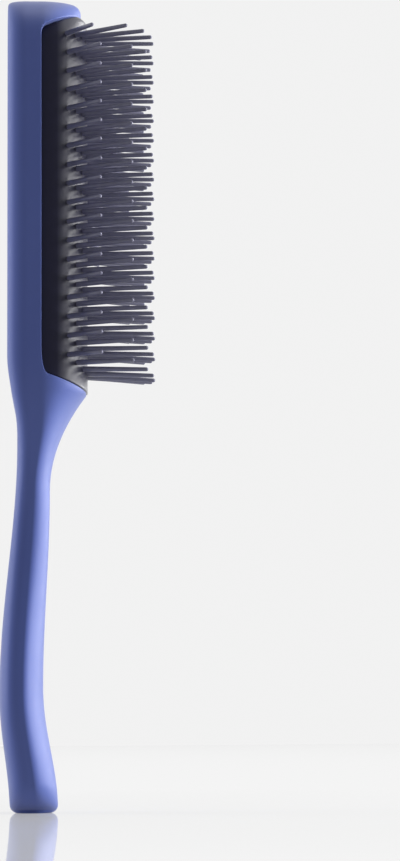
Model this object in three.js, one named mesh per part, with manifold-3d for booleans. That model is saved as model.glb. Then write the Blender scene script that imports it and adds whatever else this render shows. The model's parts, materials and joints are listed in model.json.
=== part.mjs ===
// A hair styling brush, standing on the end of its handle. One moulding makes the handle and a walled bay in
// the head. A rubber pad arches out of the bay, and moulded rows of round-ended pins stand through the pad.
// Z runs from the end of the handle to the tip of the head, X from the back of the brush towards the pins,
// and Y across it. Sizes are in millimetres and angles in degrees.
import * as THREE from "three";
import { mergeVertices } from "three/addons/utils/BufferGeometryUtils.js";
import Module from "manifold-3d";

const wasm = await Module();
wasm.setup();

// Driving dimensions
const brushLength = 220;
const clearance = 0.3; // left between pieces that touch

// Widths across the brush, and how far up it each one lies
const endFlat = 11; // the flat that the brush stands on
const endWidth = 27.8;
const endRound = 8; // height of the rounded end, seen from behind
const gripWidth = 32.4;
const gripAt = 27;
const neckWidth = 20.8;
const neckAt = 78;
const headWidth = 39.5;
const headAt = 118;
const tipRound = 15; // height of the rounded tip, seen from behind
const tipFullness = 2.2; // 2 is an ellipse, and more fills its corners out
const tipFlat = 8;

// The back line, seen from the side, measured from the flat back of the head
const endBack = 0.6;
const bellyDepth = 2.1; // how far the grip bulges behind the back of the head
const bellyAt = 31;
const hollowDepth = 2.6; // how far the throat draws in
const hollowRun = 21; // from the deepest of the hollow to the flat back
const flatBackStart = 3; // past the place where the head has its full width

// The front line, seen from the side, measured from the flat back of the head
const endFront = 13.4;
const waistFront = 9.4;
const waistAt = 33;
const throatFront = 11.2;
const flareRun = 26; // from the throat to the lip of the ramp
const lipDrop = 0.3; // lip of the ramp, under the crown of the pad
const tipDrop = 1.7; // wall at the tip, under the crown of the pad

// Edges of the moulding
const endCorner = 2.2;
const tipCorner = 3;
const gripFlat = 8; // flat along the middle of the handle, back and front
const gripBand = 1.2; // straight band along the sides of the handle
const backFullness = 2.6; // of the rounding behind the handle, where 2 is an ellipse
const frontFullness = 1.6; // of the rounding in front of the handle
const headEdge = 5; // rounded edge along the back of the head
const crownFlat = 3; // flat along the crown of the ramp and of the tip wall

// The bay in the head
const rim = 9.1; // top of the side walls, above the flat back
const backWall = 3;
const sideWall = 2.4;
const tipWall = 4.5;
const rampStart = 2.3; // foot of the ramp, short of the place where the head has its full width
const rampRun = 3.7; // how far the ramp leans back towards the handle
const rampSweep = 7.5; // length of the curve that leads the rim up to the ramp
const rampBlend = 1.8; // height above the rim where that curve runs out on the ramp
const tipRampRun = 6; // how far the face of the tip wall leans towards the tip
const tipSweep = 2.5; // length of the curve that leads the rim up to the tip wall
const tipBlend = 1.6; // height above the rim where that curve runs out on the tip wall

// Ribs on the floor of the bay, under the rows
const ribCount = 3;
const ribSpacing = 7;
const ribThickness = 2;
const ribClearance = 0.5;

// The rubber pad
const padWall = 2.2;
const padRise = 12.4; // crown above the rim
const padRound = 1.5; // rounding of the crown at the tip
const pinFacet = 0.75; // share of the pin spacing that the flat round each pin takes

// The rows of pins
const rowCount = 18;
const rowsFromRamp = 1.5; // first row, past the foot of the ramp
const rowsFromTip = 6.1; // last row, short of the tip wall
const sidePins = 4; // pins on each side of the middle one
const pinSpacing = 3.8; // along the arch of the pad
const pinReach = 18.4; // above the pad
const outerPinReach = 12.4;
const reachFall = 6; // a higher power keeps the shortening to the outermost pins
const pinBase = 1.5;
const pinTip = 1.1;
const pinEnd = 0.5; // flat on the rounded end of a pin
const holeClearance = 0.6; // lets a row rock
const stripGap = 0.6; // under the pad, lets a row rock
const stripThickness = 1.2;
const stripWidth = 2;
const rockDepth = 3.5; // axis that a row rocks about, below the crown of the pad
const firstLean = 3; // lean of the row nearest the handle, towards the handle
const leanFade = 0.7; // share of that lean which the next row has
const firstSlant = -0.9; // rise of the first row towards the tip, for each millimetre up the arch
const lastSlant = 0.2; // the same for the last row

// How finely the round faces are stepped
const cornerSteps = 5;
const endSteps = 5;
const gripSteps = 9;
const throatSteps = 8;
const tipSteps = 6;
const pinSides = 5;

// Places worked out from the driving dimensions
const backAt = headAt + flatBackStart;
const hollowAt = backAt - hollowRun;
const bayAt = headAt - rampStart;
const lipAt = bayAt - rampRun;
const throatAt = lipAt - flareRun;
const tipStart = brushLength - tipRound;
const bayEnd = brushLength - tipWall;
const tipFootAt = bayEnd - tipRampRun;
const padEnd = bayEnd - clearance;
const crown = rim + padRise;
const lipFront = crown - lipDrop;
const tipFront = crown - tipDrop;
const rockHeight = crown - rockDepth;
const firstRowAt = bayAt + rowsFromRamp;
const lastRowAt = bayEnd - rowsFromTip;
const rowPitch = (lastRowAt - firstRowAt) / (rowCount - 1);
const reachOut = 2 * (crown + pinReach); // far enough to cut right through the head

// Solids from closed geometry, and geometry from solids
function solidOf(geometry) {
  const bare = geometry.index ? geometry.toNonIndexed() : geometry.clone();
  bare.deleteAttribute("normal");
  bare.deleteAttribute("uv");
  const merged = mergeVertices(bare, 1e-4);
  const corners = merged.index.array;
  const triVerts = [];
  for (let i = 0; i < corners.length; i += 3) {
    const [a, b, c] = [corners[i], corners[i + 1], corners[i + 2]];
    if (a !== b && b !== c && c !== a) triVerts.push(a, b, c);
  }
  return new wasm.Manifold(
    new wasm.Mesh({
      numProp: 3,
      vertProperties: merged.getAttribute("position").array,
      triVerts: new Uint32Array(triVerts),
    }),
  );
}

function geometryOf(solid) {
  const mesh = solid.getMesh();
  const geometry = new THREE.BufferGeometry();
  geometry.setAttribute("position", new THREE.BufferAttribute(mesh.vertProperties, 3));
  geometry.setIndex(new THREE.BufferAttribute(mesh.triVerts, 1));
  geometry.computeVertexNormals();
  return geometry;
}

// A closed skin over rings that all have the same number of points, each ring a list of [x, y] at a height z.
// The points of a ring run anticlockwise, seen from the tip.
function loft(rings) {
  const count = rings[0].points.length;
  const positions = rings.flatMap((ring) => ring.points.flatMap(([x, y]) => [x, y, ring.z]));
  const index = [];
  for (let i = 0; i + 1 < rings.length; i++) {
    for (let j = 0; j < count; j++) {
      const next = (j + 1) % count;
      const low = i * count;
      const high = low + count;
      index.push(low + j, low + next, high + next);
      index.push(low + j, high + next, high + j);
    }
  }
  const top = (rings.length - 1) * count;
  for (let j = 1; j + 1 < count; j++) {
    index.push(0, j + 1, j);
    index.push(top, top + j, top + j + 1);
  }
  const geometry = new THREE.BufferGeometry();
  geometry.setAttribute("position", new THREE.Float32BufferAttribute(positions, 3));
  geometry.setIndex(index);
  return geometry;
}

// A shape drawn in X and Z, extruded right across the brush
function prismAcross(shape, width) {
  const geometry = new THREE.ExtrudeGeometry(shape, { depth: width, bevelEnabled: false });
  geometry.rotateX(Math.PI / 2);
  return geometry.translate(0, width / 2, 0);
}

// A shape drawn in Y and Z, extruded along X
function prismForward(shape, from, to) {
  const geometry = new THREE.ExtrudeGeometry(shape, { depth: to - from, bevelEnabled: false });
  const turn = new THREE.Matrix4().makeBasis(
    new THREE.Vector3(0, 1, 0),
    new THREE.Vector3(0, 0, 1),
    new THREE.Vector3(1, 0, 0),
  );
  return geometry.applyMatrix4(turn).translate(from, 0, 0);
}

// Curves of the moulding
const { lerp, clamp, degToRad } = THREE.MathUtils;

function ease(share) {
  return (1 - Math.cos(Math.PI * clamp(share, 0, 1))) / 2;
}

// The value at a height, eased from each stop [height, value] to the next
function alongStops(stops, z) {
  let value = stops[0][1];
  for (let i = 0; i + 1 < stops.length; i++) {
    const [from, start] = stops[i];
    const [to, end] = stops[i + 1];
    if (z >= from) value = lerp(start, end, ease((z - from) / (to - from)));
  }
  return value;
}

// How far a rounded corner has drawn in, at a distance from the end
function corner(distance, size) {
  if (distance >= size) return 0;
  return size - Math.sqrt(size ** 2 - (size - distance) ** 2);
}

// Half width before the two ends are rounded
function fullHalf(z) {
  if (z < gripAt) return lerp(endWidth, gripWidth, Math.sin((Math.PI / 2) * (z / gripAt))) / 2;
  const stops = [
    [gripAt, gripWidth / 2],
    [neckAt, neckWidth / 2],
    [headAt, headWidth / 2],
  ];
  return alongStops(stops, z);
}

// Share of that width which the rounded ends leave
function roundShare(z) {
  if (z < endRound) return Math.max(Math.sqrt(1 - (1 - z / endRound) ** 2), endFlat / endWidth);
  if (z <= tipStart) return 1;
  const left = 1 - ((z - tipStart) / tipRound) ** tipFullness;
  return Math.max(left ** (1 / tipFullness), tipFlat / headWidth);
}

function outlineHalf(z) {
  return fullHalf(z) * roundShare(z);
}

function backLine(z) {
  const stops = [
    [0, endBack],
    [bellyAt, -bellyDepth],
    [hollowAt, hollowDepth],
    [backAt, 0],
  ];
  return alongStops(stops, z) + corner(z, endCorner) + corner(brushLength - z, tipCorner);
}

function frontLine(z) {
  const stops = [
    [0, endFront],
    [waistAt, waistFront],
    [throatAt, throatFront],
  ];
  let front = alongStops(stops, z);
  if (z > throatAt) {
    front = lerp(throatFront, lipFront, ((z - throatAt) / (lipAt - throatAt)) ** 2);
  }
  if (z > lipAt) front = lerp(lipFront, tipFront, (z - lipAt) / (bayEnd - lipAt));
  if (z > bayEnd) front = tipFront;
  return front - corner(z, endCorner) - corner(brushLength - z, tipCorner);
}

// A rounding in the corner between a flat and a side, as [x, y] points
function cornerArc(flatX, flatY, sideX, sideY, fullness) {
  return Array.from({ length: cornerSteps + 1 }, (_, i) => {
    const angle = (Math.PI / 2) * (i / cornerSteps);
    return [
      lerp(sideX, flatX, Math.max(Math.cos(angle), 0) ** (2 / fullness)),
      lerp(flatY, sideY, Math.sin(angle) ** (2 / fullness)),
    ];
  });
}

// One ring of the moulding: a flat back, rounded edges, straight sides and a rounded front
function mouldingRing(z) {
  const back = backLine(z);
  const front = frontLine(z);
  const middle = (back + front) / 2;
  const intoHead = ease((z - throatAt) / (lipAt - throatAt));
  const sideLow = lerp(middle - gripBand / 2, headEdge, intoHead);
  const sideHigh = lerp(middle + gripBand / 2, rim, intoHead);
  const full = fullHalf(z);
  const backFlat = lerp(gripFlat, headWidth - 2 * headEdge, intoHead) / 2;
  const frontFlat = lerp(gripFlat, crownFlat, intoHead) / 2;
  const side = [
    ...cornerArc(back, backFlat, sideLow, full, lerp(backFullness, 2, intoHead)),
    ...cornerArc(front, frontFlat, sideHigh, full, lerp(frontFullness, 2, intoHead)).reverse(),
  ].map(([x, y]) => [x, y * roundShare(z)]);
  const points = [...side].reverse();
  points.push(...side.map(([x, y]) => [x, -y]));
  return { z, points };
}

// Heights of the rings: even steps between two heights, or steps that crowd towards a rounded end
function evenHeights(from, to, count) {
  return Array.from({ length: count }, (_, i) => lerp(from, to, i / count));
}

function endHeights(end, from, count) {
  return Array.from({ length: count }, (_, i) => lerp(end, from, 1 - Math.cos((Math.PI / 2) * (i / count))));
}

function mouldingHeights() {
  return [
    ...endHeights(0, endRound, endSteps),
    ...evenHeights(endRound, neckAt, gripSteps),
    ...evenHeights(neckAt, lipAt, throatSteps),
    lipAt,
    backAt,
    tipStart,
    ...endHeights(brushLength, tipStart, tipSteps).reverse(),
  ];
}

// The ramp, as a height for each distance from the back
function rampAt(x) {
  return lerp(bayAt, lipAt, (x - rim) / (lipFront - rim));
}

// The leaning face of the tip wall, as a height for each distance from the back
function tipRampAt(x) {
  return lerp(tipFootAt, bayEnd, (x - rim) / (tipFront - rim));
}

// The mouth of the bay: all that is open above the rim, seen from the side
function mouthShape() {
  const blend = rim + rampBlend;
  const farBlend = rim + tipBlend;
  const shape = new THREE.Shape();
  shape.moveTo(rim, bayAt + rampSweep);
  shape.quadraticCurveTo(rim, bayAt, blend, rampAt(blend));
  shape.lineTo(reachOut, rampAt(reachOut));
  shape.lineTo(reachOut, tipRampAt(reachOut));
  shape.lineTo(farBlend, tipRampAt(farBlend));
  shape.quadraticCurveTo(rim, tipFootAt, rim, tipFootAt - tipSweep);
  return shape;
}

// The face of the ramp, straight between the side walls
function rampShape() {
  const shape = new THREE.Shape();
  shape.moveTo(rim, bayAt);
  shape.lineTo(reachOut, rampAt(reachOut));
  shape.lineTo(reachOut, bayAt);
  return shape;
}

// All that lies on the handle's side of the tip wall's face, seen from the side
function underTipShape() {
  const shape = new THREE.Shape();
  shape.moveTo(0, 0);
  shape.lineTo(reachOut, 0);
  shape.lineTo(reachOut, tipRampAt(reachOut));
  shape.lineTo(rim, tipFootAt);
  shape.lineTo(0, tipFootAt);
  return shape;
}

// All that lies on the tip's side of the tip wall's face and of the end of the bay, seen from the side
function overTipShape() {
  const gap = clearance * Math.hypot(1, (bayEnd - tipFootAt) / (tipFront - rim));
  const shape = new THREE.Shape();
  shape.moveTo(0, 2 * brushLength);
  shape.lineTo(0, tipFootAt - gap);
  shape.lineTo(rim, tipFootAt - gap);
  shape.lineTo(reachOut, tipRampAt(reachOut) - gap);
  shape.lineTo(reachOut, 2 * brushLength);
  return shape;
}

// All that lies on the handle's side of the ramp and of the end of the bay, seen from the side
function underRampShape() {
  const gap = clearance * Math.hypot(1, (lipAt - bayAt) / (lipFront - rim));
  const shape = new THREE.Shape();
  shape.moveTo(0, 0);
  shape.lineTo(reachOut, 0);
  shape.lineTo(reachOut, rampAt(reachOut) + gap);
  shape.lineTo(rim, bayAt + gap);
  shape.lineTo(0, bayAt + gap);
  return shape;
}

// The bay's plan: straight side walls that follow the rounded tip
function bayShape() {
  const heights = [bayAt, ...evenHeights(tipStart, bayEnd, tipSteps), bayEnd];
  const side = heights.map((z) => new THREE.Vector2(outlineHalf(Math.max(z, headAt)) - sideWall, z));
  const otherSide = side.map((point) => new THREE.Vector2(-point.x, point.y));
  return new THREE.Shape([...side, ...otherSide.reverse()]);
}

// The arch of the pad: half width and rise of its outer face at a height, and points on it
function archAtHeight(z) {
  return {
    half: outlineHalf(Math.max(z, headAt)) - sideWall - clearance,
    rise: padRise - corner(padEnd - z, padRound),
  };
}

// A point at an angle from the crown, some depth under the outer face, with the way out at that point
function archPoint(arch, angle, depth) {
  const out = new THREE.Vector2(Math.cos(angle) / arch.rise, Math.sin(angle) / arch.half).normalize();
  const face = new THREE.Vector2(rim + arch.rise * Math.cos(angle), arch.half * Math.sin(angle));
  return { place: face.addScaledVector(out, -depth), out };
}

// The angle from the crown at a distance walked along the arch
function archAngle(arch, distance) {
  const steps = 2000;
  const step = Math.PI / steps;
  let angle = 0;
  let walked = 0;
  while (walked < Math.abs(distance)) {
    walked += step * Math.hypot(arch.half * Math.cos(angle), arch.rise * Math.sin(angle));
    angle += step;
  }
  return Math.sign(distance) * angle;
}

// Height of the arch over a place across the brush, some depth under the outer face
function archHeight(arch, y, depth) {
  const steps = 90;
  for (let i = 0; i <= steps; i++) {
    const { place } = archPoint(arch, (Math.PI / 2) * (i / steps), depth);
    if (place.y >= y) return place.x;
  }
  return rim;
}

// Angles of the corners of the arch: a flat round each pin, a step between the flats, and the two skirts
function archAngles() {
  const arch = archAtHeight(headAt);
  const corners = [];
  for (let number = -sidePins; number <= sidePins; number++) {
    corners.push(archAngle(arch, (number - pinFacet / 2) * pinSpacing));
    corners.push(archAngle(arch, (number + pinFacet / 2) * pinSpacing));
  }
  return [-Math.PI / 2, ...corners, Math.PI / 2];
}

// A closed ring of the arch, with straight skirts down to a foot
function archRing(z, depth, foot) {
  const arch = archAtHeight(z);
  const points = archAngles().map((angle) => archPoint(arch, angle, depth).place.toArray());
  return { z, points: [[foot, points[0][1]], ...points, [foot, points.at(-1)[1]]] };
}

// Handle and head
function makeHandle() {
  let body = solidOf(loft(mouldingHeights().map(mouldingRing)));
  body = body.subtract(solidOf(prismAcross(mouthShape(), 2 * headWidth)));
  body = body.subtract(solidOf(prismAcross(rampShape(), headWidth - 2 * sideWall)));
  const plan = solidOf(prismForward(bayShape(), backWall, reachOut));
  body = body.subtract(plan.intersect(solidOf(prismAcross(underTipShape(), 2 * headWidth))));
  const ribEnd = tipFootAt + clearance;
  const ribLength = ribEnd - bayAt + clearance;
  const arch = archAtHeight(ribEnd);
  const depth = padWall + stripGap + stripThickness + ribClearance;
  for (let i = 0; i < ribCount; i++) {
    const y = (i - (ribCount - 1) / 2) * ribSpacing;
    const top = archHeight(arch, Math.abs(y) + ribThickness / 2, depth);
    const foot = backWall / 2;
    const rib = new THREE.BoxGeometry(top - foot, ribThickness, ribLength);
    rib.translate((top + foot) / 2, y, ribEnd - ribLength / 2);
    body = body.add(solidOf(rib));
  }
  return body;
}

// One row: a strip that follows the arch from inside, with its pins, set about the axis that it rocks on
function rowArch(at) {
  return archAtHeight(at + stripWidth);
}

// How far a row slants along the brush as it climbs the arch, to follow the two slanted ends of the pad
function rowSlant(at) {
  return lerp(firstSlant, lastSlant, (at - firstRowAt) / (lastRowAt - firstRowAt));
}

function pinPlaces(at) {
  const arch = rowArch(at);
  const depth = padWall + stripGap + stripThickness / 2;
  return Array.from({ length: 2 * sidePins + 1 }, (_, i) => {
    const number = i - sidePins;
    const { place, out } = archPoint(arch, archAngle(arch, number * pinSpacing), depth);
    const reach = lerp(pinReach, outerPinReach, Math.abs(number / sidePins) ** reachFall);
    const height = place.x - rockHeight;
    return {
      root: new THREE.Vector3(height, place.y, rowSlant(at) * height),
      way: new THREE.Vector3(out.x, out.y, 0),
      length: reach + depth,
    };
  });
}

function alongWay(geometry, pin) {
  const turn = new THREE.Quaternion().setFromUnitVectors(new THREE.Vector3(0, 1, 0), pin.way);
  return geometry.applyQuaternion(turn).translate(pin.root.x, pin.root.y, pin.root.z);
}

function makePin(pin) {
  const radius = pinTip / 2;
  const profile = [
    new THREE.Vector2(0, 0),
    new THREE.Vector2(pinBase / 2, 0),
    new THREE.Vector2(radius, pin.length - radius),
    new THREE.Vector2(pinEnd / 2, pin.length),
    new THREE.Vector2(0, pin.length),
  ];
  return solidOf(alongWay(new THREE.LatheGeometry(profile, pinSides), pin));
}

function makeStrip(at) {
  const arch = rowArch(at);
  const top = padWall + stripGap;
  const end = archAngle(arch, sidePins * pinSpacing + stripWidth / 2);
  const steps = 2 * sidePins;
  const edge = (depth) =>
    Array.from({ length: steps + 1 }, (_, i) => {
      const { place } = archPoint(arch, lerp(-end, end, i / steps), depth);
      return new THREE.Vector2(place.x - rockHeight, place.y);
    });
  const shape = new THREE.Shape([...edge(top), ...edge(top + stripThickness).reverse()]);
  const strip = new THREE.ExtrudeGeometry(shape, { depth: stripWidth, bevelEnabled: false });
  const slant = new THREE.Matrix4().makeShear(0, rowSlant(at), 0, 0, 0, 0);
  return solidOf(strip.translate(0, 0, -stripWidth / 2).applyMatrix4(slant));
}

function makeRow(at) {
  return pinPlaces(at).reduce((row, pin) => row.add(makePin(pin)), makeStrip(at));
}

// The holes that a row's pins pass through
function makeHoles(at, matrix) {
  const radius = pinBase / 2 + holeClearance;
  const length = 2 * (padWall + stripThickness);
  return pinPlaces(at).map((pin) => {
    const hole = new THREE.CylinderGeometry(radius, radius, length, pinSides);
    hole.translate(0, length / 2, 0);
    return solidOf(alongWay(hole, pin).applyMatrix4(matrix));
  });
}

// How far a row leans towards the handle
function rowLean(number) {
  return firstLean * leanFade ** number;
}

// Rubber pad, open underneath and at both ends
function makePad(rows) {
  const betweenRows = rows.map((row) => row.userData.at + rowPitch / 2);
  const pastRows = endHeights(padEnd, lastRowAt + rowPitch / 2, tipSteps).reverse();
  const heights = [lipAt - padRise, firstRowAt - rowPitch / 2, ...betweenRows, ...pastRows];
  const outside = heights.map((z) => archRing(z, 0, backWall + clearance));
  const inside = heights.map((z) => archRing(z, padWall, 0));
  inside[0].z -= padWall;
  inside.at(-1).z += padWall;
  let pad = solidOf(loft(outside)).subtract(solidOf(loft(inside)));
  pad = pad.subtract(solidOf(prismAcross(underRampShape(), 2 * headWidth)));
  pad = pad.subtract(solidOf(prismAcross(overTipShape(), 2 * headWidth)));
  for (const row of rows) {
    for (const hole of makeHoles(row.userData.at, row.matrix)) pad = pad.subtract(hole);
  }
  return pad;
}

// Materials
const softTouch = new THREE.MeshStandardMaterial({ color: 0x6f80c4, roughness: 0.6, metalness: 0 });
const rubber = new THREE.MeshStandardMaterial({ color: 0x33343f, roughness: 0.55, metalness: 0 });
const nylon = new THREE.MeshStandardMaterial({ color: 0x45464f, roughness: 0.35, metalness: 0 });

function piece(name, solid, material) {
  const mesh = new THREE.Mesh(geometryOf(solid), material);
  mesh.name = name;
  return mesh;
}

// The assembly, with its origin in the middle of the flat end of the handle
const brush = new THREE.Group();
brush.position.x = -(backLine(0) + frontLine(0)) / 2;
brush.add(piece("handle_body", makeHandle(), softTouch));

const rows = Array.from({ length: rowCount }, (_, i) => {
  const at = firstRowAt + i * rowPitch;
  const row = piece(`pin_row_${String(i + 1).padStart(2, "0")}`, makeRow(at), nylon);
  row.userData.at = at;
  row.position.set(rockHeight, 0, at);
  row.rotation.y = degToRad(rowLean(i));
  row.updateMatrix();
  return row;
});
brush.add(piece("cushion_pad", makePad(rows), rubber));
brush.add(...rows);

export default brush;
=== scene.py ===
import json
import math

import bmesh
import bpy
import numpy as np
from mathutils import Matrix, Vector


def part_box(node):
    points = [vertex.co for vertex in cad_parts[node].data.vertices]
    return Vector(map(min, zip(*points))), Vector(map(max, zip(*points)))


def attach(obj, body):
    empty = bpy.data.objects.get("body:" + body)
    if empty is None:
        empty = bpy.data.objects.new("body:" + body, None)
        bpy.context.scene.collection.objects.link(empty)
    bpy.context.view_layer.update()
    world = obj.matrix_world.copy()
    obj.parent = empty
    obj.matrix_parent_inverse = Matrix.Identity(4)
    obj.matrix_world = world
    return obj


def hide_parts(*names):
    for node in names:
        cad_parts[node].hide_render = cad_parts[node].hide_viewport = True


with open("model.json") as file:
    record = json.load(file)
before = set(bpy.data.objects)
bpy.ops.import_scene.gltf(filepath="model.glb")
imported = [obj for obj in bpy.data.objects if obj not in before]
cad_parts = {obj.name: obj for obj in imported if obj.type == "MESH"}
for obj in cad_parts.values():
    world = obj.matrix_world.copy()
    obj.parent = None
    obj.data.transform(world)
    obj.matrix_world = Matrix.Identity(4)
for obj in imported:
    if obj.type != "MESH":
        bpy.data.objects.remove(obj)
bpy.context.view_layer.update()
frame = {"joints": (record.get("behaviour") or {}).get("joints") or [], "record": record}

record = frame["record"]
mm = 0.001

# Places read from the frame. Shapes below are in millimetres, X measured from the flat back of the head.
backPlane = next(m["pos_m"][0] for m in record["mounts"] if m["name"] == "head_back") / mm
bodyLow, bodyHigh = (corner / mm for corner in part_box("handle_body"))
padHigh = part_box("cushion_pad")[1] / mm
leanJoints = [joint for joint in frame["joints"] if joint["type"] == "hinge"]
rowHeights = [joint["pos_m"][2] / mm for joint in leanJoints]
rockHeight = leanJoints[0]["pos_m"][0] / mm - backPlane
brushLength = bodyHigh.z
headWidth = bodyHigh.y - bodyLow.y
crown = padHigh.x - backPlane
print("frame: rows", len(rowHeights), "length", round(brushLength, 1), "head", round(headWidth, 1))


# Node trees
class Wire:
    # one outlet of a node, with the sums that it can take part in
    def __init__(self, graph, maker, socket):
        self.graph = graph
        self.maker = maker
        self.socket = socket

    def out(self, name):
        return Wire(self.graph, self.maker, self.maker.outputs[name])

    def sum(self, operation, first, second=0.0):
        return self.graph.node("ShaderNodeMath", {"operation": operation}, {0: first, 1: second})

    def __add__(self, other):
        return self.sum("ADD", self, other)

    def __radd__(self, other):
        return self.sum("ADD", other, self)

    def __sub__(self, other):
        return self.sum("SUBTRACT", self, other)

    def __rsub__(self, other):
        return self.sum("SUBTRACT", other, self)

    def __mul__(self, other):
        return self.sum("MULTIPLY", self, other)

    def __rmul__(self, other):
        return self.sum("MULTIPLY", other, self)

    def __truediv__(self, other):
        return self.sum("DIVIDE", self, other)

    def __pow__(self, other):
        return self.sum("POWER", self, other)

    def cosine(self):
        return self.sum("COSINE", self)

    def sine(self):
        return self.sum("SINE", self)

    def clamped(self):
        return self.sum("MINIMUM", self.sum("MAXIMUM", self, 0.0), 1.0)

    def greatest(self, other):
        return self.sum("MAXIMUM", self, other)


class Graph:
    def __init__(self, tree):
        self.tree = tree

    def node(self, kind, settings=None, links=None, outlet=0):
        made = self.tree.nodes.new(kind)
        for name, value in (settings or {}).items():
            setattr(made, name, value)
        for key, value in (links or {}).items():
            if isinstance(value, Wire):
                self.tree.links.new(value.socket, made.inputs[key])
            else:
                made.inputs[key].default_value = value
        return Wire(self, made, made.outputs[outlet]) if made.outputs else made

    def mixed(self, factor, first, second):
        links = {0: factor, 6: first, 7: second}
        return self.node("ShaderNodeMix", {"data_type": "RGBA"}, links, outlet=2)

    def vector(self, operation, first, second, outlet=0):
        return self.node("ShaderNodeVectorMath", {"operation": operation}, {0: first, 1: second}, outlet)

    def scaled(self, vector, amount):
        return self.node("ShaderNodeVectorMath", {"operation": "SCALE"}, {0: vector, "Scale": amount})

    def xyz(self, x=0.0, y=0.0, z=0.0):
        return self.node("ShaderNodeCombineXYZ", {}, {0: x, 1: y, 2: z})

    def noise(self, place, scale, detail=2.0):
        return self.node("ShaderNodeTexNoise", {}, {"Vector": place, "Scale": scale, "Detail": detail})

    def bump(self, height, strength, depth):
        links = {"Strength": strength, "Distance": depth * mm, "Height": height}
        return self.node("ShaderNodeBump", {}, links)


# Finishes
def linear(red, green, blue):
    # a colour picked in 0 to 255, as the shader wants it
    shares = [value / 255 for value in (red, green, blue)]
    return tuple(s / 12.92 if s <= 0.04045 else ((s + 0.055) / 1.055) ** 2.4 for s in shares)


def newFinish(name):
    finish = bpy.data.materials.new(name)
    finish.use_nodes = True
    finish.node_tree.nodes.clear()
    return finish, Graph(finish.node_tree)


def closeFinish(graph, shader):
    graph.node("ShaderNodeOutputMaterial", {}, {"Surface": shader})


softTouch = {
    "deep": linear(88, 106, 181),
    "pale": linear(98, 116, 191),
    "mottle": 22.0,  # blotches per metre
    "grain": 2600.0,
    "speckSize": 6.0,  # in grains
    "roughness": 0.42,
    "roughnessSpread": 0.1,
    "grainDepth": 0.012,  # millimetres
    "grainStrength": 0.35,
    "specular": 0.35,
    "sheen": 0.12,
}


def makeSoftTouch():
    s = softTouch
    finish, g = newFinish("softTouchPlastic")
    place = g.node("ShaderNodeTexCoord", outlet="Object")
    mottle = g.noise(place, s["mottle"], detail=1.0)
    grain = g.noise(place, s["grain"], detail=3.0)
    speck = g.noise(place, s["grain"] / s["speckSize"])
    bump = g.bump(grain, s["grainStrength"], s["grainDepth"])
    links = {
        "Base Color": g.mixed(mottle, (*s["deep"], 1.0), (*s["pale"], 1.0)),
        "Roughness": s["roughness"] + s["roughnessSpread"] * (grain + speck - 1.0),
        "Specular IOR Level": s["specular"],
        "Sheen Weight": s["sheen"],
        "Normal": bump,
    }
    closeFinish(g, g.node("ShaderNodeBsdfPrincipled", {}, links))
    return finish


padRubber = {
    "dark": linear(26, 26, 44),
    "light": linear(36, 36, 56),
    "mottle": 90.0,
    "grain": 1800.0,
    "roughness": 0.45,
    "roughnessSpread": 0.14,
    "grainDepth": 0.02,
    "grainStrength": 0.4,
    "specular": 0.15,
    "polishFrom": 13.2, "polishFull": 15.2,  # the crown is polished, the sides are dull
    "polishRoughness": 0.3,
    "polish": 1.0,
}


def makePadRubber():
    s = padRubber
    finish, g = newFinish("padRubber")
    place = g.node("ShaderNodeTexCoord", outlet="Object")
    mottle = g.noise(place, s["mottle"], detail=3.0)
    grain = g.noise(place, s["grain"], detail=3.0)
    bump = g.bump(grain, s["grainStrength"], s["grainDepth"])
    height = g.node("ShaderNodeSeparateXYZ", {}, {0: place}, outlet="X") / mm - backPlane
    polish = ((height - s["polishFrom"]) / (s["polishFull"] - s["polishFrom"])).clamped() * s["polish"]
    links = {
        "Base Color": g.mixed(mottle, (*s["dark"], 1.0), (*s["light"], 1.0)),
        "Coat Weight": polish,
        "Coat Roughness": s["polishRoughness"],
        "Roughness": s["roughness"] + s["roughnessSpread"] * (mottle - 0.5),
        "Specular IOR Level": s["specular"],
        "Normal": bump,
    }
    closeFinish(g, g.node("ShaderNodeBsdfPrincipled", {}, links))
    return finish


pinNylon = {
    "dark": linear(112, 112, 136),
    "light": linear(131, 131, 156),
    "streaks": 420.0,  # flow marks of the moulding, per metre
    "roughness": 0.22,
    "roughnessSpread": 0.08,
}


def makePinNylon():
    s = pinNylon
    finish, g = newFinish("pinNylon")
    place = g.node("ShaderNodeTexCoord", outlet="Object")
    streak = g.noise(place, s["streaks"])
    links = {
        "Base Color": g.mixed(streak, (*s["dark"], 1.0), (*s["light"], 1.0)),
        "Roughness": s["roughness"] + s["roughnessSpread"] * (streak - 0.5),
    }
    closeFinish(g, g.node("ShaderNodeBsdfPrincipled", {}, links))
    return finish


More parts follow.
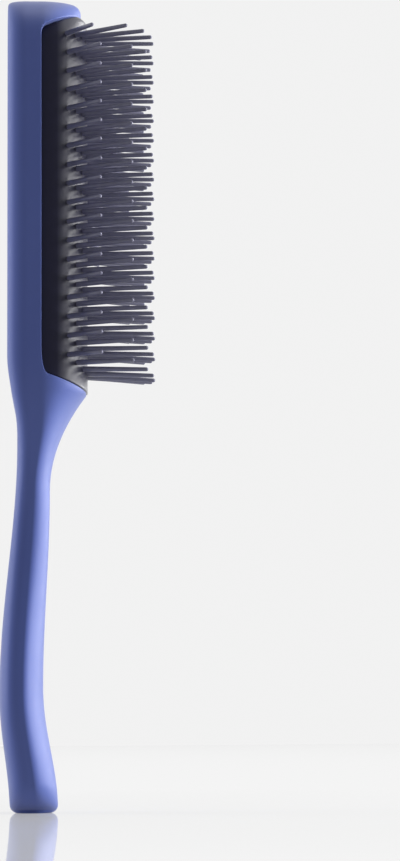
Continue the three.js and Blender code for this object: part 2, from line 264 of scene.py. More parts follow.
# Curves shared by the moulding and the pad
moulding = {
    "endFlat": 11.0, "endWidth": 27.8, "endRound": 8.0,
    "gripWidth": 32.4, "gripAt": 27.0,
    "neckWidth": 20.8, "neckAt": 78.0, "headAt": 118.0,
    "tipRound": 15.0, "tipFullness": 2.2, "tipFlat": 1.6,
    "endBack": 0.6, "bellyDepth": 2.1, "bellyAt": 31.0,
    "hollowDepth": 2.6, "hollowAt": 100.0, "backAt": 121.0,
    "endFront": 13.4, "waistFront": 9.4, "waistAt": 33.0,
    "throatFront": 11.2, "throatAt": 86.0,
    "lipDrop": 0.3, "tipDrop": 1.7,
    "endCorner": 2.2, "tipCorner": 3.0,
    "gripFlat": 8.0, "gripBand": 1.2, "headEdge": 5.0, "crownFlat": 3.0,
    "backFullness": 2.6, "frontFullness": 1.6,  # 2 is an ellipse, more is boxier
    "rim": 9.1, "floor": 3.0, "sideWall": 2.4, "tipWall": 4.5,
    "bayAt": 115.7, "lipAt": 112.0,
    "rampSweep": 7.5, "rampBlend": 1.8,
    "tipFootAt": 209.5, "tipSweep": 2.5, "tipBlend": 1.6,
    "rimRound": 0.14, "lipRound": 0.3,  # rounding of the side walls and of the ramp
    "wallEdge": 0.25,
    "ribs": (-7.0, 0.0, 7.0), "ribThickness": 2.0, "ribRound": 0.4,
    "ribGap": 0.7, "ribInset": 1.5,  # room under the rows, and for the fall of the arch across a rib
    "ribFoot": 1.0, "ribOver": 0.2,  # how far ribs run into the floor and into the ends of the bay
    "weld": 1e-4, "sliver": 1e-5,
}
m = moulding
tipStart = brushLength - m["tipRound"]
bayEnd = brushLength - m["tipWall"]
lipFront = crown - m["lipDrop"]
tipFront = crown - m["tipDrop"]
rampSlope = (m["bayAt"] - m["lipAt"]) / (lipFront - m["rim"])
tipSlope = (bayEnd - m["tipFootAt"]) / (tipFront - m["rim"])


def between(start, end, share):
    return start + (end - start) * share


def ease(share):
    return (1 - math.cos(math.pi * min(max(share, 0.0), 1.0))) / 2


def alongStops(stops, z):
    value = stops[0][1]
    for (low, start), (high, end) in zip(stops, stops[1:]):
        if z >= low:
            value = between(start, end, ease((z - low) / (high - low)))
    return value


def cornerDrop(distance, size):
    if distance >= size:
        return 0.0
    return size - math.sqrt(max(size ** 2 - (size - distance) ** 2, 0.0))


def fullHalf(z):
    if z < m["gripAt"]:
        return between(m["endWidth"], m["gripWidth"], math.sin(math.pi / 2 * z / m["gripAt"])) / 2
    stops = [(m["gripAt"], m["gripWidth"] / 2), (m["neckAt"], m["neckWidth"] / 2),
             (m["headAt"], headWidth / 2)]
    return alongStops(stops, z)


def roundShare(z):
    if z < m["endRound"]:
        return max(math.sqrt(1 - (1 - z / m["endRound"]) ** 2), m["endFlat"] / m["endWidth"])
    if z <= tipStart:
        return 1.0
    left = max(1 - ((z - tipStart) / m["tipRound"]) ** m["tipFullness"], 0.0)
    return max(left ** (1 / m["tipFullness"]), m["tipFlat"] / headWidth)


def backLine(z):
    stops = [(0.0, m["endBack"]), (m["bellyAt"], -m["bellyDepth"]),
             (m["hollowAt"], m["hollowDepth"]), (m["backAt"], 0.0)]
    return alongStops(stops, z) + cornerDrop(z, m["endCorner"]) + cornerDrop(brushLength - z, m["tipCorner"])


def frontLine(z):
    stops = [(0.0, m["endFront"]), (m["waistAt"], m["waistFront"]), (m["throatAt"], m["throatFront"])]
    front = alongStops(stops, z)
    if z > m["throatAt"]:
        front = between(m["throatFront"], lipFront, ((z - m["throatAt"]) / (m["lipAt"] - m["throatAt"])) ** 2)
    if z > m["lipAt"]:
        front = between(lipFront, tipFront, min((z - m["lipAt"]) / (bayEnd - m["lipAt"]), 1.0))
    return front - cornerDrop(z, m["endCorner"]) - cornerDrop(brushLength - z, m["tipCorner"])


def evenSteps(start, end, step):
    count = max(round((end - start) / step), 1)
    return [between(start, end, i / count) for i in range(count)]


def crowdedSteps(end, start, count):
    # from an end inwards, close together at the end
    return [between(end, start, 1 - math.cos(math.pi / 2 * i / count)) for i in range(count)]


# The moulding: rings of the outside, then the lip, walls and floor of the bay
ringSteps = {"backFlat": 6, "backArc": 12, "side": 12, "frontArc": 18, "frontFlat": 4, "lip": 4}
ringGaps = {"grip": 2.0, "throat": 1.2, "bay": 4.0, "tip": 0.5}  # millimetres from ring to ring
ringCounts = {"end": 12, "rampSweep": 14, "tipSweep": 10, "tipEnd": 16}
leanTries = 12  # the lean of a ring and the front that it meets depend on each other
rimIndex = ringSteps["backFlat"] + ringSteps["backArc"] + ringSteps["side"]


def rimHeight(s):
    # the rim, with the curves that lead it up to the ramp and to the tip wall
    fromRamp = (s - m["bayAt"]) / m["rampSweep"]
    fromTip = (m["tipFootAt"] - s) / m["tipSweep"]
    rise = 0.0
    if 0 <= fromRamp <= 1:
        rise = m["rampBlend"] * (1 - math.sqrt(fromRamp)) ** 2
    if 0 <= fromTip <= 1:
        rise = m["tipBlend"] * (1 - math.sqrt(fromTip)) ** 2
    return m["rim"] + rise


def leaningHeight(s, x):
    # rings lean over with the ramp, and with the face of the tip wall
    above = max(x - m["rim"], 0.0)
    if s > m["bayAt"] + m["rampSweep"]:
        upright = (s - m["tipFootAt"]) / (brushLength - m["tipFootAt"])
        return s + (1 - max(upright, 0.0)) * tipSlope * above
    return s - ease((s - m["throatAt"]) / (m["bayAt"] - m["throatAt"])) * rampSlope * above


def sectionAt(z):
    # the outside at a height: its front and back, the ends of its straight side, its flats and roundings
    back, front = backLine(z), frontLine(z)
    middle = (back + front) / 2
    intoHead = ease((z - m["throatAt"]) / (m["lipAt"] - m["throatAt"]))
    return {
        "back": back,
        "front": front,
        "full": fullHalf(z),
        "sideLow": between(middle - m["gripBand"] / 2, m["headEdge"], intoHead),
        "sideHigh": between(middle + m["gripBand"] / 2, m["rim"], intoHead),
        "backFlat": between(m["gripFlat"], headWidth - 2 * m["headEdge"], intoHead) / 2,
        "frontFlat": between(m["gripFlat"], m["crownFlat"], intoHead) / 2,
        "backFullness": between(m["backFullness"], 2.0, intoHead),
        "frontFullness": between(m["frontFullness"], 2.0, intoHead),
    }


def acrossAt(x, z):
    # half width of the outside at a place
    c = sectionAt(z)
    side, face = ("sideLow", "back") if x < c["sideLow"] else ("sideHigh", "front")
    share = min(max((x - c[side]) / (c[face] - c[side]), 0.0), 1.0)
    fullness = c[face + "Fullness"]
    return between(c[face + "Flat"], c["full"], (1 - share ** fullness) ** (1 / fullness)) * roundShare(z)


def mouldingRing(s):
    # from the middle of the back, round one side, to the middle of the front
    n = ringSteps
    c = sectionAt(s)
    front = c["front"]
    for _ in range(leanTries):
        front = frontLine(leaningHeight(s, front))
    rimTop = rimHeight(s)
    if s < m["bayAt"]:
        nearRamp = ease((s - m["throatAt"]) / (m["bayAt"] - m["throatAt"]))
        rimTop = c["sideHigh"] + m["rampBlend"] * nearRamp ** 3
    elif s > m["tipFootAt"]:
        rimTop = m["rim"] + m["tipBlend"]
    backFlat = c["backFlat"] * roundShare(s)
    ring = [Vector((c["back"], backFlat * i / n["backFlat"], s)) for i in range(n["backFlat"])]
    places = []
    for i in range(n["backArc"]):
        angle = math.pi / 2 * i / n["backArc"]
        places.append(between(c["sideLow"], c["back"], math.cos(angle) ** (2 / c["backFullness"])))
    places += [between(c["sideLow"], rimTop, i / n["side"]) for i in range(n["side"])]
    start = math.asin(((rimTop - c["sideHigh"]) / (front - c["sideHigh"])) ** (c["frontFullness"] / 2))
    for i in range(n["frontArc"] + 1):
        angle = between(start, math.pi / 2, i / n["frontArc"])
        places.append(between(c["sideHigh"], front, math.sin(angle) ** (2 / c["frontFullness"])))
    for x in places:
        z = leaningHeight(s, x)
        ring.append(Vector((x, acrossAt(x, z), z)))
    edge = ring[-1]
    ring += [edge * Vector((1.0, 1 - i / n["frontFlat"], 1.0)) for i in range(1, n["frontFlat"] + 1)]
    return ring


def mouldingHeights():
    near, far = ringCounts["rampSweep"], ringCounts["tipSweep"]
    heights = crowdedSteps(0.0, m["endRound"], ringCounts["end"])
    heights += evenSteps(m["endRound"], m["throatAt"], ringGaps["grip"])
    heights += evenSteps(m["throatAt"], m["bayAt"], ringGaps["throat"])
    heights += [m["bayAt"] + m["rampSweep"] * (i / near) ** 2 for i in range(near)]
    heights += evenSteps(m["bayAt"] + m["rampSweep"], tipStart, ringGaps["bay"])
    heights += evenSteps(tipStart, m["tipFootAt"] - m["tipSweep"], ringGaps["tip"])
    heights += [m["tipFootAt"] - m["tipSweep"] * (1 - i / far) ** 2 for i in range(far)]
    heights += [m["tipFootAt"]]
    heights += crowdedSteps(brushLength, m["tipFootAt"], ringCounts["tipEnd"])[::-1]
    return heights


def lipStations(rings, firstRing, lastRing):
    # corners of the mouth on one side, from the crown of the ramp to the crown of the tip wall:
    # ring and point, the way out of the outside there, and the way that the cut faces
    rampFacing = Vector((rampSlope, 0.0, 1.0)).normalized()
    tipFacing = Vector((tipSlope, 0.0, -1.0)).normalized()
    top = len(rings[0]) - 1
    stations = []

    def add(ring, point, low, high, facing):
        along = rings[high][point] - rings[low][point]
        across = rings[ring][point] - rings[ring][point - 1]
        stations.append(((ring, point), along.cross(across).normalized(), facing))

    for i in range(top, rimIndex, -1):
        add(firstRing, i, firstRing - 1, firstRing, rampFacing)
    for j in range(firstRing, lastRing + 1):
        low, high = max(j - 1, firstRing), min(j + 1, lastRing)
        along = rings[high][rimIndex] - rings[low][rimIndex]
        add(j, rimIndex, low, high, Vector((along.z, 0.0, -along.x)).normalized())
    for i in range(rimIndex + 1, top + 1):
        add(lastRing, i, lastRing, lastRing + 1, tipFacing)
    return stations


def lipRings(rings, stations):
    # for each corner: the trimmed edge, the rounding, and the way down to the floor of the bay
    places = [rings[ring][point] for (ring, point), _, _ in stations]
    mirrored = Vector((1.0, -1.0, 1.0))
    rows = []
    for number, (_, outward, facing) in enumerate(stations):
        place = places[number]
        before = places[number - 1] if number else places[1] * mirrored
        after = places[number + 1] if number + 1 < len(places) else places[-2] * mirrored
        along = (after - before).normalized()
        inward = facing.cross(along).normalized()
        away = along.cross(outward).normalized()
        level = max(facing.x, 0.0) ** 4  # 1 on the level rim, near 0 on the ramp and the tip wall
        radius = between(m["lipRound"], m["rimRound"], level)
        row = []
        for step in range(ringSteps["lip"] + 1):
            angle = math.pi / 2 * step / ringSteps["lip"]
            row.append(place + radius * ((1 - math.sin(angle)) * away + (1 - math.cos(angle)) * inward))
        wall, edge = m["sideWall"], m["wallEdge"]
        down = inward.lerp(Vector((-1.0, 0.0, 0.0)), level).normalized()
        row.append(place + inward * (wall - edge))
        row.append(place + inward * wall + down * edge)
        foot = row[-1].copy()
        foot.z = min(max(foot.z, m["bayAt"]), m["tipFootAt"])
        foot.y = max(foot.y, 0.0) if number not in (0, len(places) - 1) else 0.0
        row.append(Vector((min(m["rim"] - edge, foot.x), foot.y, foot.z)))
        row.append(Vector((m["floor"], foot.y, foot.z)))
        rows.append(row)
    return rows


def addFace(shape, side, *corners):
    ordered = list(dict.fromkeys(corners if side > 0 else corners[::-1]))
    if len(ordered) > 2:
        shape.faces.new(ordered)


def addRib(shape, y):
    # a rib on the floor of the bay, just under the rows
    depth = pad["wall"] + pad["stripGap"] + pinRow["stripThickness"] + m["ribGap"]
    half = headWidth / 2 - m["sideWall"] - depth
    top = m["rim"] + (crown - m["rim"] - depth) * math.sqrt(1 - ((abs(y) + m["ribInset"]) / half) ** 2)
    low = Vector((m["floor"] - m["ribFoot"], y - m["ribThickness"] / 2, m["bayAt"] - m["ribOver"]))
    high = Vector((top, y + m["ribThickness"] / 2, m["tipFootAt"] + m["ribOver"]))
    size = Matrix.Diagonal((*(high - low), 1.0))
    made = bmesh.ops.create_cube(shape, size=1.0, matrix=Matrix.Translation((low + high) / 2) @ size)
    edges = list({edge for corner in made["verts"] for edge in corner.link_edges})
    bmesh.ops.bevel(shape, geom=edges, offset=m["ribRound"], segments=3, affect="EDGES", profile=0.5)


def makeMoulding():
    heights = mouldingHeights()
    rings = [mouldingRing(s) for s in heights]
    firstRing = heights.index(m["bayAt"])
    lastRing = heights.index(m["tipFootAt"])
    stations = lipStations(rings, firstRing, lastRing)
    lip = lipRings(rings, stations)
    for ((ring, point), _, _), row in zip(stations, lip):
        rings[ring][point] = row[0]  # the outside stops short of the rounded edge
    shape = bmesh.new()
    for side in (1.0, -1.0):
        flip = Vector((1.0, side, 1.0))
        corners = [[shape.verts.new(place * flip) for place in ring] for ring in rings]
        top = len(rings[0]) - 1
        for j in range(len(rings) - 1):
            low, high = corners[j], corners[j + 1]
            for i in range(rimIndex if firstRing <= j < lastRing else top):
                addFace(shape, side, low[i], low[i + 1], high[i + 1], high[i])
        for ring, way in ((corners[0], side), (corners[-1], -side)):
            for i in range(top // 2):
                addFace(shape, way, ring[i], ring[top - i], ring[top - i - 1], ring[i + 1])
        edge = [corners[ring][point] for (ring, point), _, _ in stations]
        below = [[shape.verts.new(place * flip) for place in row[1:]] for row in lip]
        for number in range(len(edge) - 1):
            left = [edge[number], *below[number]]
            right = [edge[number + 1], *below[number + 1]]
            for k in range(len(left) - 1):
                addFace(shape, side, left[k], right[k], right[k + 1], left[k + 1])
        addFace(shape, side, *[row[-1] for row in below])
    bmesh.ops.remove_doubles(shape, verts=shape.verts, dist=m["weld"])
    bmesh.ops.dissolve_degenerate(shape, edges=shape.edges, dist=m["sliver"])
    bmesh.ops.recalc_face_normals(shape, faces=shape.faces)
    for y in m["ribs"]:
        addRib(shape, y)
    return finishPiece("brush_moulding", shape, makeSoftTouch())


def finishPiece(name, shape, finish):
    # millimetres from the flat back become metres in the frame
    bmesh.ops.translate(shape, vec=(backPlane, 0.0, 0.0), verts=shape.verts)
    bmesh.ops.scale(shape, vec=(mm, mm, mm), verts=shape.verts)
    mesh = bpy.data.meshes.new(name)
    shape.to_mesh(mesh)
    shape.free()
    mesh.polygons.foreach_set("use_smooth", [True] * len(mesh.polygons))
    mesh.materials.append(finish)
    piece = bpy.data.objects.new(name, mesh)
    bpy.context.scene.collection.objects.link(piece)
    return piece


# The rubber pad: an arch with skirts, and a low collar round each pin
pad = {
    "clearance": 0.3,
    "stripGap": 0.6,
    "wall": 2.2,
    "endRound": 1.5,
    "archSteps": 112, "skirtSteps": 8, "endSteps": 10, "walkSteps": 4000,
    "lengthStep": 0.5,
    "collarHeight": 0.08,
    "collarInner": 0.8,
    "collarOuter": 1.7,
}
padEnd = bayEnd - pad["clearance"]
padRise = crown - m["rim"]


def archHalf(z):
    return fullHalf(max(z, m["headAt"])) * roundShare(max(z, m["headAt"])) - m["sideWall"] - pad["clearance"]


def archRise(z):
    return padRise - cornerDrop(padEnd - z, pad["endRound"])


def archAngle(half, rise, distance):
    # angle from the crown at a distance walked along the arch
    angle = np.linspace(0.0, math.pi / 2, pad["walkSteps"] + 1)
    speed = np.hypot(half * np.cos(angle), rise * np.sin(angle))
    walked = np.concatenate([[0.0], np.cumsum((speed[1:] + speed[:-1]) / 2 * np.diff(angle))])
    return math.copysign(float(np.interp(abs(distance), walked, angle)), distance)


def pinAxes(number):
    # where each pin of a row leaves the outside of the pad, and the way it points
    z = rowHeights[number]
    half = archHalf(z + pinRow["stripWidth"])
    lean = Matrix.Rotation(rowLean(number), 3, "Y")
    pivot = Vector((rockHeight, 0.0, z))
    axes = []
    for column in range(-pinRow["sidePins"], pinRow["sidePins"] + 1):
        angle = archAngle(half, padRise, column * pinRow["spacing"])
        face = Vector((m["rim"] + padRise * math.cos(angle), half * math.sin(angle), z))
        way = Vector((math.cos(angle) / padRise, math.sin(angle) / half, 0.0)).normalized()
        face.z += rowSlant(number) * (face.x - rootDepth() * way.x - rockHeight)
        axes.append((pivot + lean @ (face - pivot), lean @ way))
    return axes


def collarLift(places):
    # height of the collars over each place on the pad
    lift = np.zeros(len(places))
    for number in range(len(rowHeights)):
        for face, way in pinAxes(number):
            near = np.abs(places[:, 2] - face.z) < 2 * pad["collarOuter"]
            offset = places[near] - np.array(face)
            alongPin = offset @ np.array(way)
            distance = np.linalg.norm(offset - alongPin[:, None] * np.array(way), axis=1)
            share = np.clip((pad["collarOuter"] - distance) / (pad["collarOuter"] - pad["collarInner"]), 0, 1)
            lift[near] = np.maximum(lift[near], pad["collarHeight"] * share * share * (3 - 2 * share))
    return lift


def padLine(share):
    # one line across the pad, foot to foot, as outside places and the ways out
    steps, skirt = pad["archSteps"], pad["skirtSteps"]
    foot = m["floor"] + pad["clearance"]
    rampGap = pad["clearance"] * math.hypot(1.0, rampSlope)
    tipGap = pad["clearance"] * math.hypot(1.0, tipSlope)
    spots = [(between(foot, m["rim"], i / skirt), -math.pi / 2) for i in range(skirt)]
    spots += [(None, math.pi * (i / steps - 0.5)) for i in range(steps + 1)]
    spots += [(between(m["rim"], foot, i / skirt), math.pi / 2) for i in range(1, skirt + 1)]
    line = []
    for low, angle in spots:
        x = low if low is not None else m["rim"] + padRise * math.cos(angle)
        above = max(x - m["rim"], 0.0)
        start = m["bayAt"] + rampGap - rampSlope * above
        z = between(start, m["tipFootAt"] - tipGap + tipSlope * above, share)
        half, rise = archHalf(z), archRise(z)
        if low is None:
            x = m["rim"] + rise * math.cos(angle)
        way = Vector((math.cos(angle) / rise, math.sin(angle) / half, 0.0)).normalized()
        line.append((Vector((x, half * math.sin(angle), z)), way))
    return line


def makePad():
    length = padEnd - m["bayAt"]
    straight = 1 - pad["endRound"] / length
    shares = evenSteps(0.0, straight, pad["lengthStep"] / length)
    steps = pad["endSteps"]
    shares += [between(straight, 1.0, math.sin(math.pi / 2 * i / steps)) for i in range(steps + 1)]
    lines = [padLine(share) for share in shares]
    wide = len(lines[0])
    places = np.array([place for line in lines for place, _ in line])
    ways = np.array([way for line in lines for _, way in line])
    outside = places + ways * collarLift(places)[:, None]
    inside = places - ways * pad["wall"]
    shape = bmesh.new()
    outer = [shape.verts.new(place) for place in outside]
    inner = [shape.verts.new(place) for place in inside]
    for j in range(len(lines) - 1):
        for i in range(wide - 1):
            a, b = j * wide + i, j * wide + i + 1
            c, d = b + wide, a + wide
            shape.faces.new((outer[a], outer[b], outer[c], outer[d]))
            shape.faces.new((inner[d], inner[c], inner[b], inner[a]))
    last = (len(lines) - 1) * wide
    border = list(range(wide)) + [j * wide + wide - 1 for j in range(1, len(lines))]
    border += [last + i for i in range(wide - 2, -1, -1)] + [j * wide for j in range(len(lines) - 2, 0, -1)]
    for a, b in zip(border, border[1:] + border[:1]):
        shape.faces.new((outer[b], outer[a], inner[a], inner[b]))
    bmesh.ops.recalc_face_normals(shape, faces=shape.faces)
    return finishPiece("rubber_cushion", shape, makePadRubber())


# The rows of pins, one mesh for each row, made by one node tree
pinRow = {
    "sidePins": 4,  # pins on each side of the middle one
    "spacing": 3.8,
    "reach": 18.4,
    "outerReach": 12.4,
    "reachFall": 6.0,
    "baseWidth": 1.6,
    "tipWidth": 1.1,
    "stripThickness": 1.2,
    "stripWidth": 2.0,
    "firstLean": 3.0, "leanFade": 0.7,  # towards the handle, and the share of it that the next row has
    "firstSlant": -0.9, "lastSlant": 0.2,  # rise along the brush for each millimetre up the arch
    "waver": 0.35,  # degrees that single pins stand off true
    "seed": 4,
    "sides": 12, "shankRings": 4, "endRings": 6, "archPoints": 129, "stripPoints": 33,
    "endTurn": 86.4,  # degrees, so that the round end stops just short of a point
    "sharpest": 50.0,  # degrees, past which an edge stays crisp
}


def rowLean(number):
    return math.radians(pinRow["firstLean"] * pinRow["leanFade"] ** number)


def rowSlant(number):
    # rows slant to follow the two slanted ends of the pad
    return between(pinRow["firstSlant"], pinRow["lastSlant"], number / (len(rowHeights) - 1))


def rootDepth():
    return pad["wall"] + pad["stripGap"] + pinRow["stripThickness"] / 2


def treeInputs(tree, sizes):
    kinds = {int: "NodeSocketInt", float: "NodeSocketFloat", tuple: "NodeSocketVector"}
    tree.interface.new_socket("Geometry", in_out="OUTPUT", socket_type="NodeSocketGeometry")
    for name, value in sizes.items():
        kind = kinds.get(type(value), "NodeSocketMaterial")
        tree.interface.new_socket(name, in_out="INPUT", socket_type=kind)


def rowSizes(number, finish):
    # the tree's inputs for one row, in metres
    p = pinRow
    z = rowHeights[number]
    return {
        "Row Place": ((rockHeight + backPlane) * mm, 0.0, z * mm),
        "Row Lean": rowLean(number),
        "Row Slant": rowSlant(number),
        "Arch Half": archHalf(z + p["stripWidth"]) * mm,
        "Arch Rise": padRise * mm,
        "Arch Foot": (m["rim"] - rockHeight) * mm,
        "Root Depth": rootDepth() * mm,
        "Pins Each Side": p["sidePins"],
        "Pin Spacing": p["spacing"] * mm,
        "Pin Reach": p["reach"] * mm,
        "Outer Reach": p["outerReach"] * mm,
        "Reach Fall": p["reachFall"],
        "Base Radius": p["baseWidth"] / 2 * mm,
        "Tip Radius": p["tipWidth"] / 2 * mm,
        "Strip Thickness": p["stripThickness"] * mm,
        "Strip Width": p["stripWidth"] * mm,
        "Waver": math.radians(p["waver"]),
        "Seed": p["seed"] + number,
        "Finish": finish,
    }


def archCurve(g, size):
    # the arch of the pad, from foot to foot, about the axis that the row rocks on
    line = g.node("GeometryNodeCurvePrimitiveLine", {}, {"End": (0.0, 0.0, 1.0)})
    line = g.node("GeometryNodeResampleCurve", {}, {"Curve": line, "Count": pinRow["archPoints"]})
    angle = (g.node("GeometryNodeSplineParameter") - 0.5) * math.pi
    place = g.xyz(size("Arch Foot") + size("Arch Rise") * angle.cosine(), size("Arch Half") * angle.sine())
    return g.node("GeometryNodeSetPosition", {}, {"Geometry": line, "Position": place})


def pinShape(g, size):
    # one pin along Z: a tapered shank with a round end
    shankRings, endRings = pinRow["shankRings"], pinRow["endRings"]
    ring = g.node("GeometryNodeInputIndex")
    shank = (ring / (shankRings - 1.0)).clamped()
    turn = ((ring - (shankRings - 1.0)) / endRings).clamped() * math.radians(pinRow["endTurn"])
    height = size("Pin Reach") + size("Root Depth") - size("Tip Radius")
    width = size("Base Radius") + (size("Tip Radius") - size("Base Radius")) * shank
    line = g.node("GeometryNodeCurvePrimitiveLine", {}, {"End": (0.0, 0.0, 1.0)})
    line = g.node("GeometryNodeResampleCurve", {}, {"Curve": line, "Count": shankRings + endRings})
    place = g.xyz(0.0, 0.0, height * shank + size("Tip Radius") * turn.sine())
    line = g.node("GeometryNodeSetPosition", {}, {"Geometry": line, "Position": place})
    section = g.node("GeometryNodeCurvePrimitiveCircle", {}, {"Resolution": pinRow["sides"], "Radius": 1.0})
    links = {"Curve": line, "Profile Curve": section, "Scale": width * turn.cosine(), "Fill Caps": True}
    return g.node("GeometryNodeCurveToMesh", {}, links)


def slantOffset(g, size, place):
    # how far the slant of the row moves a place along the brush
    height = g.node("ShaderNodeSeparateXYZ", {}, {0: place}, outlet="X")
    return g.xyz(0.0, 0.0, height * size("Row Slant"))


def rowPins(g, size, arch):
    # pins evenly along the arch, the outermost ones shorter
    count = size("Pins Each Side") * 2.0 + 1.0
    points = g.node("GeometryNodePoints", {}, {"Count": count})
    column = g.node("GeometryNodeInputIndex") - size("Pins Each Side")
    middle = g.node("GeometryNodeCurveLength", {}, {"Curve": arch}) * 0.5
    links = {"Curves": arch, "Length": middle + column * size("Pin Spacing")}
    spot = g.node("GeometryNodeSampleCurve", {"mode": "LENGTH"}, links)
    way = g.vector("CROSS_PRODUCT", spot.out("Tangent"), (0.0, 0.0, 1.0))
    root = g.vector("SUBTRACT", spot.out("Position"), g.scaled(way, size("Root Depth")))
    links = {"Geometry": points, "Position": root, "Offset": slantOffset(g, size, root)}
    points = g.node("GeometryNodeSetPosition", {}, links)
    upright = g.node("FunctionNodeAlignRotationToVector", {"axis": "Z"}, {"Vector": way})
    most = g.xyz(size("Waver"), size("Waver"))
    least = g.scaled(most, -1.0)
    waver = g.node("FunctionNodeRandomValue", {"data_type": "FLOAT_VECTOR"},
                   {0: least, 1: most, "Seed": size("Seed")})
    turned = g.node("FunctionNodeRotateRotation", {"rotation_space": "LOCAL"},
                    {"Rotation": upright, "Rotate By": waver})
    outward = column / size("Pins Each Side")
    shorter = (size("Outer Reach") - size("Pin Reach")) * (outward * outward) ** (size("Reach Fall") * 0.5)
    whole = size("Pin Reach") + size("Root Depth")
    links = {
        "Points": points,
        "Instance": pinShape(g, size),
        "Rotation": turned,
        "Scale": g.xyz(1.0, 1.0, (whole + shorter) / whole),
    }
    return g.node("GeometryNodeInstanceOnPoints", {}, links)


def rowStrip(g, size, arch):
    # the strip that carries the pins, inside the pad
    whole = g.node("GeometryNodeCurveLength", {}, {"Curve": arch})
    share = (size("Pins Each Side") * size("Pin Spacing") + size("Strip Width") * 0.5) / whole
    links = {"Curve": arch, 2: 0.5 - share, 3: 0.5 + share}
    part = g.node("GeometryNodeTrimCurve", {"mode": "FACTOR"}, links)
    way = g.vector("CROSS_PRODUCT", g.node("GeometryNodeInputTangent"), (0.0, 0.0, 1.0))
    inset = g.scaled(way, size("Root Depth") * -1.0)
    part = g.node("GeometryNodeSetPosition", {}, {"Geometry": part, "Offset": inset})
    part = g.node("GeometryNodeResampleCurve", {}, {"Curve": part, "Count": pinRow["stripPoints"]})
    part = g.node("GeometryNodeSetCurveNormal", {"mode": "Z_UP"}, {"Curve": part})
    links = {"Width": size("Strip Thickness"), "Height": size("Strip Width")}
    section = g.node("GeometryNodeCurvePrimitiveQuadrilateral", {"mode": "RECTANGLE"}, links)
    links = {"Curve": part, "Profile Curve": section, "Fill Caps": True}
    strip = g.node("GeometryNodeCurveToMesh", {}, links)
    offset = slantOffset(g, size, g.node("GeometryNodeInputPosition"))
    return g.node("GeometryNodeSetPosition", {}, {"Geometry": strip, "Offset": offset})


def pinRowTree(sizes):
    tree = bpy.data.node_groups.new("pinRow", "GeometryNodeTree")
    tree.is_modifier = True
    treeInputs(tree, sizes)
    g = Graph(tree)
    inputs = g.node("NodeGroupInput")
    size = inputs.out
    arch = archCurve(g, size)
    joined = g.node("GeometryNodeJoinGeometry")
    for part in (rowStrip(g, size, arch), rowPins(g, size, arch)):
        tree.links.new(part.socket, joined.maker.inputs[0])
    lean = g.xyz(0.0, size("Row Lean"))
    row = g.node("GeometryNodeTransform", {}, {"Geometry": joined, "Rotation": lean})
    row = g.node("GeometryNodeTransform", {}, {"Geometry": row, "Translation": size("Row Place")})
    row = g.node("GeometryNodeRealizeInstances", {}, {"Geometry": row})
    row = g.node("GeometryNodeSetMaterial", {}, {"Geometry": row, "Material": size("Finish")})
    g.node("NodeGroupOutput", {}, {"Geometry": row})
    return tree


def setInputs(modifier, tree, sizes):
    names = {item.name: item.identifier for item in tree.interface.items_tree if item.in_out == "INPUT"}
    for name, value in sizes.items():
        modifier[names[name]] = value


def plainMesh(holder, name):
    # the evaluated result as a mesh of its own
    graph = bpy.context.evaluated_depsgraph_get()
    mesh = bpy.data.meshes.new_from_object(holder.evaluated_get(graph), depsgraph=graph)
    mesh.name = name
    piece = bpy.data.objects.new(name, mesh)
    bpy.context.scene.collection.objects.link(piece)
    return piece


def smoothRounds(mesh, sharpest):
    mesh.polygons.foreach_set("use_smooth", [True] * len(mesh.polygons))
    mesh.set_sharp_from_angle(angle=math.radians(sharpest))


def makeRows():
    finish = makePinNylon()
    tree = pinRowTree(rowSizes(0, finish))
    pieces = []
    for number in range(len(rowHeights)):
        holder = bpy.data.objects.new("rowHolder", bpy.data.meshes.new("rowHolder"))
        bpy.context.scene.collection.objects.link(holder)
        modifier = holder.modifiers.new("pinRow", "NODES")
        modifier.node_group = tree
        setInputs(modifier, tree, rowSizes(number, finish))
        piece = plainMesh(holder, f"pin_strip_{number + 1:02d}")
        smoothRounds(piece.data, pinRow["sharpest"])
        bpy.data.objects.remove(holder)
        pieces.append(piece)
    return pieces


# Studio
studio = {
    "backdrop": 0.885,
    "fill": 0.12,
    "floorGlow": 0.925,
    "floorSize": 6.0,
    "floorShine": 0.55, "floorRoughness": 0.04,
    "floorMatt": 0.9,
    "floorShadow": 0.35,
    "shadowReach": 0.3,  # metres, how far out the floor shows shadows
    "lamps": [
        # name, place, aimed at, width, height, power; a shine only makes highlights on the brush
        ("rightLamp", (0.74, 0.06, 0.16), (0.0, 0.0, 0.13), 0.42, 0.8, 11.2),
        ("rightShine", (0.66, 0.3, 0.16), (0.0, 0.0, 0.13), 0.8, 0.8, 8.0),
        ("leftLamp", (-0.68, 0.2, 0.18), (0.0, 0.0, 0.12), 0.5, 0.8, 5.2),
        ("leftShine", (-0.66, 0.25, 0.2), (0.0, 0.0, 0.12), 0.5, 0.8, 1.2),
        ("topLamp", (0.1, 0.1, 0.9), (0.0, 0.0, 0.1), 0.5, 0.5, 1.6),
        ("topShine", (0.1, 0.1, 0.9), (0.0, 0.0, 0.1), 0.5, 0.5, 1.6),
    ],
}


def grey(level):
    return (level, level, level, 1.0)


def paleRays(g):
    # what the camera, mirrors and glass see is the pale backdrop
    rays = g.node("ShaderNodeLightPath")
    seen = rays.out("Is Camera Ray").greatest(rays.out("Is Glossy Ray"))
    return seen.greatest(rays.out("Is Transmission Ray"))


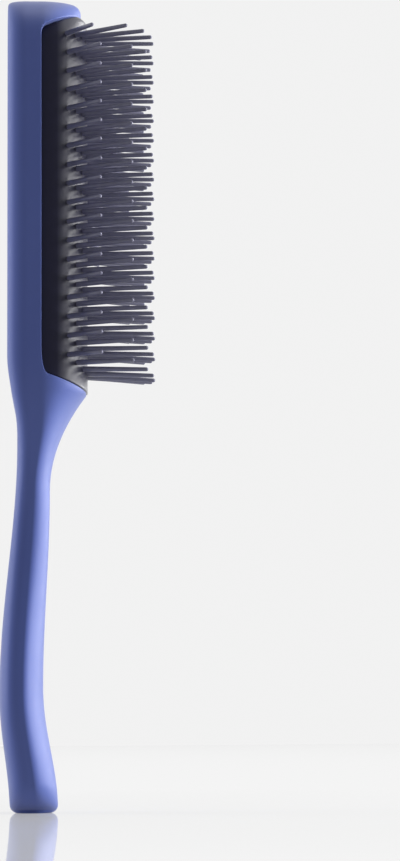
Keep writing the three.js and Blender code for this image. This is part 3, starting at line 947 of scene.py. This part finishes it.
def makeWorld():
    world = bpy.data.worlds.new("studio")
    world.use_nodes = True
    world.node_tree.nodes.clear()
    g = Graph(world.node_tree)
    backdrop = g.node("ShaderNodeBackground", {}, {"Color": grey(studio["backdrop"]), "Strength": 1.0})
    light = g.node("ShaderNodeBackground", {}, {"Color": grey(1.0), "Strength": studio["fill"]})
    shown = g.node("ShaderNodeMixShader", {}, {0: paleRays(g), 1: light, 2: backdrop})
    g.node("ShaderNodeOutputWorld", {}, {"Surface": shown})
    bpy.context.scene.world = world


def makeFloor():
    shape = bmesh.new()
    bmesh.ops.create_grid(shape, x_segments=2, y_segments=2, size=studio["floorSize"])
    mesh = bpy.data.meshes.new("floor")
    shape.to_mesh(mesh)
    shape.free()
    floor = bpy.data.objects.new("floor", mesh)
    bpy.context.scene.collection.objects.link(floor)
    finish, g = newFinish("paleFloor")
    glow = g.node("ShaderNodeEmission", {}, {"Color": grey(studio["floorGlow"]), "Strength": paleRays(g)})
    matt = g.node("ShaderNodeBsdfDiffuse", {}, {"Color": grey(studio["floorMatt"])})
    links = {"Color": grey(1.0), "Roughness": studio["floorRoughness"]}
    shine = g.node("ShaderNodeBsdfGlossy", {}, links)
    place = g.node("ShaderNodeTexCoord", outlet="Object")
    distance = g.vector("LENGTH", place, (0.0, 0.0, 0.0), outlet="Value")
    near = (1.0 - distance / studio["shadowReach"]).clamped()
    base = g.node("ShaderNodeMixShader", {}, {0: studio["floorShadow"] * near, 1: glow, 2: matt})
    closeFinish(g, g.node("ShaderNodeMixShader", {}, {0: studio["floorShine"], 1: base, 2: shine}))
    mesh.materials.append(finish)


def makeLamps(brush):
    # the floor is glossy, so highlights are kept off it
    for name, place, target, width, height, power in studio["lamps"]:
        lamp = bpy.data.lights.new(name, "AREA")
        lamp.shape = "RECTANGLE"
        lamp.size = width
        lamp.size_y = height
        lamp.energy = power
        holder = bpy.data.objects.new(name, lamp)
        bpy.context.scene.collection.objects.link(holder)
        if name.endswith("Shine"):
            holder.visible_diffuse = False
            holder.light_linking.receiver_collection = brush
        else:
            holder.visible_glossy = False
        holder.location = place
        holder.rotation_euler = (Vector(target) - Vector(place)).to_track_quat("-Z", "Y").to_euler()


# Camera, set by lining up the back edge, both ends and the pin tips with the picture
view = {
    "place": (0.008, -0.7, 0.0196),
    "turn": 3.015,  # degrees to the right of straight on
    "tilt": 6.721,  # degrees up
    "roll": -0.413,
    "focal": 2603.5,  # in pixels
    "imageHeight": 861,
    "sensor": 36.0,
}


def makeCamera():
    camera = bpy.data.cameras.new("camera")
    camera.sensor_width = view["sensor"]
    camera.lens = view["focal"] * view["sensor"] / view["imageHeight"]
    holder = bpy.data.objects.new("camera", camera)
    bpy.context.scene.collection.objects.link(holder)
    turn = Matrix.Rotation(-math.radians(view["turn"]), 4, "Z")
    tilt = Matrix.Rotation(math.radians(90 + view["tilt"]), 4, "X")
    roll = Matrix.Rotation(math.radians(view["roll"]), 4, "Z")
    holder.matrix_world = Matrix.Translation(view["place"]) @ turn @ tilt @ roll
    bpy.context.scene.camera = holder


# Everything together
makeCamera()
makeWorld()
brush = bpy.data.collections.new("brush")
makeLamps(brush)
makeFloor()
print("studio: done")

body = makeMoulding()
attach(body, "handle")
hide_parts("handle_body")
brush.objects.link(body)
print("moulding: faces", len(body.data.polygons))

cushion = makePad()
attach(cushion, "pad")
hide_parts("cushion_pad")
brush.objects.link(cushion)
print("pad: faces", len(cushion.data.polygons))

for joint, strip in zip(leanJoints, makeRows()):
    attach(strip, joint["child"])
    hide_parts(*record["behaviour"]["bodies"][joint["child"]])
    brush.objects.link(strip)
print("rows: faces in the last", len(strip.data.polygons))

bpy.context.scene.view_settings.view_transform = "Standard"
